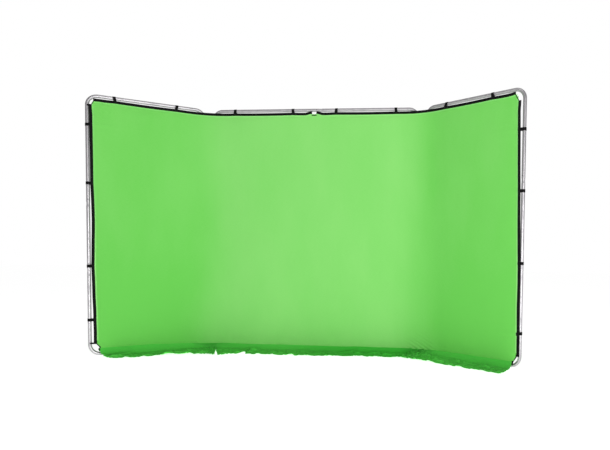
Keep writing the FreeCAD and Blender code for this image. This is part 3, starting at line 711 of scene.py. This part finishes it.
def clipRoute(middle, skew):
    # round a tube from the webbing's front to its back, as (towards the cover, forward, along the tube)
    radius = tubeRadius + clipSizes["clear"] + clipSizes["thick"] / 2
    lift = clothAhead + webbingSizes["thick"] / 2 + clipSizes["thick"] / 2 + clipSizes["off"]
    under = clothAhead - webbingSizes["thick"] / 2 - clipSizes["thick"] / 2 - clipSizes["off"]
    reach = max(middle + clipSizes["tail"], clipSizes["shortest"])
    front = [(reach, lift), ((reach + 0.018) / 2, lift + 0.0004), (0.018, lift - 0.001)]
    arc = [
        (radius * math.cos(math.radians(a)), radius * math.sin(math.radians(a)))
        for a in range(72, 289, 12)
    ]
    back = [(0.017, 0.001), (0.020, under - 0.003), (0.023, under), (reach, under)]
    route = []
    for t, f in front + arc + back:
        route.append((t, f, skew * (smooth(0.028, -0.004, t) - 0.5)))
    return route


def roundedRoute(route):  # two passes, and each doubles the points and softens the turns
    for _ in range(2):
        middle = []
        for a, b in zip(route, route[1:]):
            middle += [a.lerp(b, 0.25), a.lerp(b, 0.75)]
        route = [route[0]] + middle + [route[-1]]
    return route


def clip(name, place, inward, ahead, along, skew, middle=webbingMiddle["rail"]):
    reach = max(middle + clipSizes["tail"], clipSizes["shortest"])
    shape = [place + t * inward + f * ahead + s * along for t, f, s in clipRoute(middle, skew)]
    route = roundedRoute(shape)
    body = strap(name, route, [along] * len(route), clipSizes["width"], clipSizes["thick"], blackWebbing)
    rows = []
    lift = clothAhead + webbingSizes["thick"] / 2 + clipSizes["thick"] + 0.0004
    half = clipSizes["stitchHalf"] * along
    for k, back in enumerate(clipSizes["stitchRows"]):
        for i in range(clipSizes["stitches"]):
            sideways = clipSizes["stitchStart"] + clipSizes["stitchStep"] * i
            spot = place + (reach - back) * inward + lift * ahead + sideways * along
            spot -= 0.5 * skew * along
            ends = [spot - half, spot + half]
            rows.append(strap(f"{name}_stitch_{k}_{i}", ends, [inward] * 2, *clipSizes["thread"], thread))
    return [body] + rows


def panelClips(panel):
    pieces, up = [], Vector((0, 0, 1))
    if panel == "centre":
        for i, x in enumerate([-c for c in centreRailClips[-1]] + list(centreRailClips[1])):
            place = Vector((x, hinge.y, railHeight))
            skew = clipSizes["skew"] * rough(x, 5, size=0.3)
            pieces += clip(f"rail_clip_{i}", place, -up, Vector((0, -1, 0)), Vector((1, 0, 0)), skew)
        return pieces
    side = -1 if panel == "left" else 1
    out, ahead = mirrored(wingOut, side), mirrored(wingFront, side)
    base = mirrored(hinge, side)
    for i, s in enumerate(wingRailClips[side]):
        place = base + s * out + railHeight * up
        pieces += clip(f"rail_clip_{i}", place, -up, ahead, out, clipSizes["skew"] * (1 - 2 * i) * side)
    for i, z in enumerate(sideClips[side]):
        place = base + wingReach * out + z * up
        skew = clipSizes["skew"] * rough(z, side * 3, size=0.4)
        middle = webbingMiddle["side"] + edgeShift(z, side)
        pieces += clip(f"side_clip_{i}", place, -out, ahead, up, skew, middle)
    return pieces


tabSizes = {
    "width": 0.015,
    "footWidth": 0.014,
    "thick": 0.0022,
    "spread": {-1: 0.009, 1: 0.014},  # how far a tab runs past the webbing's middle, each way
    "wrap": {-1: (60, 70, 80, 90), 1: ()},  # degrees round the upright, which only the left tabs reach
}


def cornerTabs(side, name):  # short straps that hold the webbing's ends to the tube at the outer corners
    out, ahead, up = mirrored(wingOut, side), mirrored(wingFront, side), Vector((0, 0, 1))
    base = mirrored(hinge, side)
    width, thick = tabSizes["width"], tabSizes["thick"]
    radius = tubeRadius + clipSizes["clear"] + thick / 2
    lift = clothAhead + webbingSizes["thick"] / 2 + thick / 2
    pieces = []
    ends = [coverSizes["sideFoot"][side] + 0.008]
    if side < 0:
        ends.append(coverSizes["sideTop"][side] + 0.002)
    for k, z in enumerate(ends):
        place = base + wingReach * out + z * up
        middle = webbingMiddle["side"] + edgeShift(z, side)
        spread = tabSizes["spread"][side]
        shape = [place - t * out + lift * ahead for t in (middle + spread, middle, middle - spread)]
        for a in tabSizes["wrap"][side]:
            turn = math.radians(a)
            shape.append(place + radius * (-math.cos(turn) * out + math.sin(turn) * ahead))
        route = roundedRoute(shape)
        pieces.append(strap(f"{name}_side_tab_{k}", route, [up] * len(route), width, thick, blackWebbing))
    spots = [Vector((s, 0, z)) for s, z in coverSizes["footTab"][side]]
    shape = [base + spot.x * out + (clothAhead + 0.0030) * ahead + spot.z * up for spot in spots]
    route = roundedRoute(shape)
    across = [(shape[-1] - shape[0]).cross(ahead).normalized()] * len(route)
    pieces.append(strap(name + "_foot_tab", route, across, tabSizes["footWidth"], thick, blackWebbing))
    return pieces


for panel in ("left", "centre", "right"):
    pieces = panelClips(panel)
    body = "centre_frame" if panel == "centre" else panel + "_wing"
    if panel != "centre":
        pieces += cornerTabs(-1 if panel == "left" else 1, panel)
    clips = joined(pieces, f"{panel}_clips_and_tabs")
    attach(clips, body)
    node = "centre_strap_clips" if panel == "centre" else panel + "_wing_strap_clips"
    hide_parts(node)
print("strap clips made")


# floor skirt
skirtSizes = {
    "column": 0.012,
    "rows": 44,
    "thickness": 0.0009,
    "behind": 0.0172,  # where its top edge hangs, between the tubes and the cover
    "tuck": 0.014,  # how far it runs up behind the cover's hem
    "fall": 0.062,  # how far forward it has come down to the floor
    "raised": 0.0045,  # how high a wing's skirt lies where it covers the centre's
    "foldEnd": {-1: 0.943, 1: 0.955},  # outer end of a wing's fold, along the wing from its hinge
    "frontEnd": {-1: 0.860, 1: 0.985},  # outer end of its front edge
    "gussetEnd": {-1: (0.812, 0.392), 1: (0.880, 0.315)},  # its inner end, out from the middle and forward
    "lap": {-1: 0.059, 1: 0.050},  # how far its fold runs on past the corner
    "wingFront": {  # front edge, as (along the wing, forward of the tubes)
        -1: ((0.10, 0.375), (0.31, 0.290), (0.55, 0.242), (0.67, 0.242), (0.785, 0.226), (0.86, 0.200)),
        1: ((0.08, 0.318), (0.31, 0.290), (0.53, 0.292), (0.71, 0.277), (0.89, 0.271), (0.985, 0.276)),
    },
    "centreFold": (-0.976, 0.985),  # ends of the centre's fold
    "centreFront": (  # front edge, as (sideways, forward of the tubes)
        (-0.786, 0.390), (-0.70, 0.318), (-0.62, 0.292), (-0.50, 0.305), (-0.43, 0.282), (-0.05, 0.312),
        (0.40, 0.257), (0.68, 0.261), (0.86, 0.270), (0.93, 0.300),
    ),
    "tuckUnder": (-0.600, 0.042, 0.085),  # where the front edge is turned under: middle, reach, depth
    "gather": {-1: 0.013, 0: 0.005, 1: 0.032},  # height of the gathered folds at the inner corners
    "wander": 0.026,  # gather at which their places wander twice as far as with none
    "ragged": {-1: 1, 1: 2.2},  # how uneven the front edge of a gusset is
    "gussetColumns": 22,
    "flatDepth": 0.34,
    "folds": {  # loose folds, as (size across, height)
        "long": (0.15, 0.022),
        "ridge": (0.10, 0.010),
        "fine": (0.04, 0.0022),
        "edge": (0.09, 0.009),
    },
}


def skirtRise(t, top, depth):
    # profile from the tucked edge, t = 0, to the front, t = 1, as (forward of the fold, height)
    tuck, fall = skirtSizes["tuck"], min(skirtSizes["fall"], depth * 0.6)
    run = t * (tuck + depth)
    back = skirtSizes["behind"] - clothAhead
    if run < tuck:
        return back, top + tuck - run
    x = (run - tuck) / fall
    if x < 1:
        return back + (fall - back) * x**1.2, top * (1 - x) ** 1.6
    return run - tuck, 0.0


def skirtWrinkle(run, t, kind, near):
    # height of the loose folds: run is along the fold, near is 1 at an inner corner
    loose = smooth(0.15, 0.4, t)
    size, high = skirtSizes["folds"]["long"]
    long = max(0, rough(run + 0.6 * t, 0.8 * t, kind * 5, size=size) - 0.05) ** 1.3 * high
    size, high = skirtSizes["folds"]["ridge"]
    ridge = (1 - abs(rough(run - 0.25 * t, 0.25 * t, kind * 11, size=size))) ** 8 * high
    size, high = skirtSizes["folds"]["fine"]
    fine = max(0, rough(run, 0.4 * t, kind * 9 + 2, size=size)) * high
    size, high = skirtSizes["folds"]["edge"]
    edge = max(0, rough(run, 1, kind * 13, size=size)) * high * smooth(0.75, 1, t)
    return (long + ridge + fine + edge) * loose * (1 - 0.4 * near)


def skirtColumns(folds, fronts, tops, raised, kind, near, gather):
    columns, flat, run = [], [], 0.0
    for i, (fold, front) in enumerate(zip(folds, fronts)):
        run += (fold - folds[i - 1]).length if i else 0
        depth = (front - fold).length
        way = (front - fold) / depth
        column, flatColumn = [], []
        for j in range(skirtSizes["rows"] + 1):
            t = (j / skirtSizes["rows"]) ** 0.9
            forward, height = skirtRise(t, tops[i], depth)
            lift = skirtWrinkle(run, t, kind, near[i])
            wander = 2 + 2 * gather / skirtSizes["wander"]
            spread = 1.7 * i + wander * rough(i * 0.08, 1.3 * t, kind, size=0.5)
            fan = gather * near[i] * smooth(0.02, 0.3, t) * (1 - 0.3 * t)
            lift += fan * (0.5 + 0.5 * math.sin(spread)) ** 1.5
            point = fold + way * forward
            z = height + 0.0006 + raised[i] * smooth(0, 0.15, t) + lift
            column.append(Vector((point.x, point.y, z)))
            flatColumn.append((run, t * skirtSizes["flatDepth"]))
        columns.append(column)
        flat.append(flatColumn)
    return columns, flat


def frontJitter(at, kind):  # the front edge isn't quite straight
    return 0.005 * rough(at, 2, kind * 4, size=0.3) + 0.004 * rough(at, 7, kind * 4, size=0.06)


def wingSkirt(side, name):
    sizes = skirtSizes
    line = sizes["wingFront"][side]
    inner, foldEnd, frontEnd = line[0][0], sizes["foldEnd"][side], sizes["frontEnd"][side]
    folds, fronts, near, places = [], [], [], []
    for s in columnPlaces(inner, foldEnd, sizes["column"])[::-1]:
        x = s + (frontEnd - foldEnd) * smooth(foldEnd - 0.4, foldEnd, s)
        front = hinge + x * wingOut + (alongLine(line, x) - frontJitter(s, side)) * wingFront
        folds.append(hinge + s * wingOut + clothAhead * wingFront)
        fronts.append(front)
        near.append(bump(s, 0, 0.33))
        places.append(s - cornerStep)
    apex = fronts[-1]
    last = Vector((sizes["gussetEnd"][side][0], hinge.y - sizes["gussetEnd"][side][1], 0))
    fan = sizes["gussetColumns"]
    for k in range(1, fan + 1):
        u = k / fan
        reach = inner + sizes["lap"][side]
        at = inner - cornerStep - u * reach
        folds.append(corner + (at * wingOut if at > 0 else Vector((at, 0, 0))))
        ragged = frontJitter(-0.3 * u, side) * sizes["ragged"][side]
        fronts.append(apex.lerp(last, u) + Vector((0, ragged, 0)))
        near.append(1.0)
        places.append(at)
    tops = [hemLine(q, side) - 0.004 for q in places]
    raised = [sizes["raised"] * smooth(0.5, 0.3, q) for q in places]
    columns, flat = skirtColumns(folds, fronts, tops, raised, side + 2, near, sizes["gather"][side])
    columns = [[mirrored(p, side) for p in column] for column in columns]
    return gridPiece(name, columns, flat, shadedSkirtGreen, flip=side > 0)


def centreSkirt(name):
    sizes = skirtSizes
    left, right = sizes["centreFold"]
    line = sizes["centreFront"]
    middle, reach, deep = sizes["tuckUnder"]
    places = columnPlaces(left, right, sizes["column"])
    folds, fronts, near = [], [], []
    for x in places:
        s = (x - left) / (right - left)
        frontX = x + (line[0][0] - left) * (1 - s) ** 9 + (line[-1][0] - right) * s**9
        forward = alongLine(line, frontX) - frontJitter(x, 0) - deep * bump(frontX, middle, reach)
        folds.append(Vector((x, corner.y, 0)))
        fronts.append(Vector((frontX, hinge.y - forward, 0)))
        near.append(min(1, 0.5 * bump(x, left, 0.3) + bump(x, right, 0.3)))
    tops = [hemLine(-1, 1) - 0.004] * len(places)
    raised = [0.0] * len(places)
    columns, flat = skirtColumns(folds, fronts, tops, raised, 0, near, sizes["gather"][0])
    return gridPiece(name, columns, flat, shadedSkirtGreen)


skirts = {
    "left": wingSkirt(-1, "left_wing_skirt_cloth"),
    "centre": centreSkirt("centre_skirt_cloth"),
    "right": wingSkirt(1, "right_wing_skirt_cloth"),
}
for panel, piece in skirts.items():
    thicken(piece, skirtSizes["thickness"])
    if panel == "centre":
        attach(piece, "centre_frame")
    else:
        bendWith(piece, -1 if panel == "left" else 1, panel + "_wing")
    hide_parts("centre_skirt" if panel == "centre" else panel + "_wing_skirt")
print("floor skirt made")

# floor, light and camera
studio = {
    "floor": colour(0.86, 0.86, 0.86),
    "floorHalf": 30.0,
    "floorDeep": 24.0,
    "floorDrop": -0.0015,  # just under the frame's feet
    "glow": 0.80,
    "ambient": 0.22,
    "softboxes": {  # place, what it is turned to, width and height, power
        "key_softbox": ((4.0, -6.0, 1.3), (-0.2, 0.3, 0.8), (3.2, 2.2), 195.0),
        "low_softbox": ((0.4, -5.4, 0.35), (0.1, 0.3, 0.1), (4.2, 0.5), 60.0),
        "top_softbox": ((0.0, -1.5, 5.0), (0.0, 0.2, 0.6), (4.0, 2.0), 30.0),
    },
}


def studioFloor():
    half, deep, z = studio["floorHalf"], studio["floorDeep"], studio["floorDrop"]
    mesh = bpy.data.meshes.new("studio_floor")
    corners = [(-half, -deep, z), (half, -deep, z), (half, deep, z), (-half, deep, z)]
    mesh.from_pydata(corners, [], [(0, 1, 2, 3)])
    floor = bpy.data.objects.new("studio_floor", mesh)
    bpy.context.scene.collection.objects.link(floor)
    paint = Paint("studio_floor", Roughness=0.9)
    tone = paint.cloud(paint.place(), 0.5, 2.0)
    paint.use(Base_Color=paint.mix(tone, studio["floor"], colour(0.88, 0.88, 0.88)))
    paint.shader.inputs["Emission Color"].default_value = colour(1, 1, 1)
    paint.shader.inputs["Emission Strength"].default_value = studio["glow"]
    mesh.materials.append(paint.material)


def softbox(name, at, target, size, power):
    light = bpy.data.lights.new(name, "AREA")
    light.shape = "RECTANGLE"
    light.size, light.size_y = size
    light.energy = power
    lamp = bpy.data.objects.new(name, light)
    bpy.context.scene.collection.objects.link(lamp)
    lamp.location = at
    lamp.rotation_euler = (Vector(target) - Vector(at)).to_track_quat("-Z", "Y").to_euler()


studioFloor()
for name, settings in studio["softboxes"].items():
    softbox(name, *settings)
world = bpy.data.worlds.new("studio")
world.use_nodes = True
sky = world.node_tree.nodes["Background"]
sky.inputs["Color"].default_value = colour(1, 1, 1)
seen = world.node_tree.nodes.new("ShaderNodeLightPath")
bright = world.node_tree.nodes.new("ShaderNodeMapRange")  # white behind the object, dimmer as a light
bright.inputs["To Min"].default_value = studio["ambient"]
world.node_tree.links.new(seen.outputs["Is Camera Ray"], bright.inputs["Value"])
world.node_tree.links.new(bright.outputs[0], sky.inputs["Strength"])
bpy.context.scene.world = world
bpy.context.scene.view_settings.view_transform = "Standard"

cameraSizes = {
    "place": (1.203, -4.808, 0.941),  # from the middle of the centre frame's foot
    "yaw": 4.898,  # degrees to the left
    "pitch": -2.299,
    "roll": -0.650,
    "lens": 30.09,
    "shift": (-0.1487, 0.0798),
}
camera = bpy.data.objects.new("camera", bpy.data.cameras.new("camera"))
bpy.context.scene.collection.objects.link(camera)
camera.location = Vector(cameraSizes["place"]) + Vector((0, hinge.y, 0))
turns = [math.radians(cameraSizes[k]) for k in ("yaw", "pitch", "roll")]
aim = (
    Euler((0, 0, turns[0])).to_matrix()
    @ Euler((turns[1], 0, 0)).to_matrix()
    @ Euler((0, turns[2], 0)).to_matrix()
    @ Euler((math.radians(90), 0, 0)).to_matrix()
)
camera.rotation_euler = aim.to_euler()
camera.data.lens = cameraSizes["lens"]
camera.data.shift_x, camera.data.shift_y = cameraSizes["shift"]
camera.data.clip_end = 200
bpy.context.scene.camera = camera
print("floor, light and camera set")
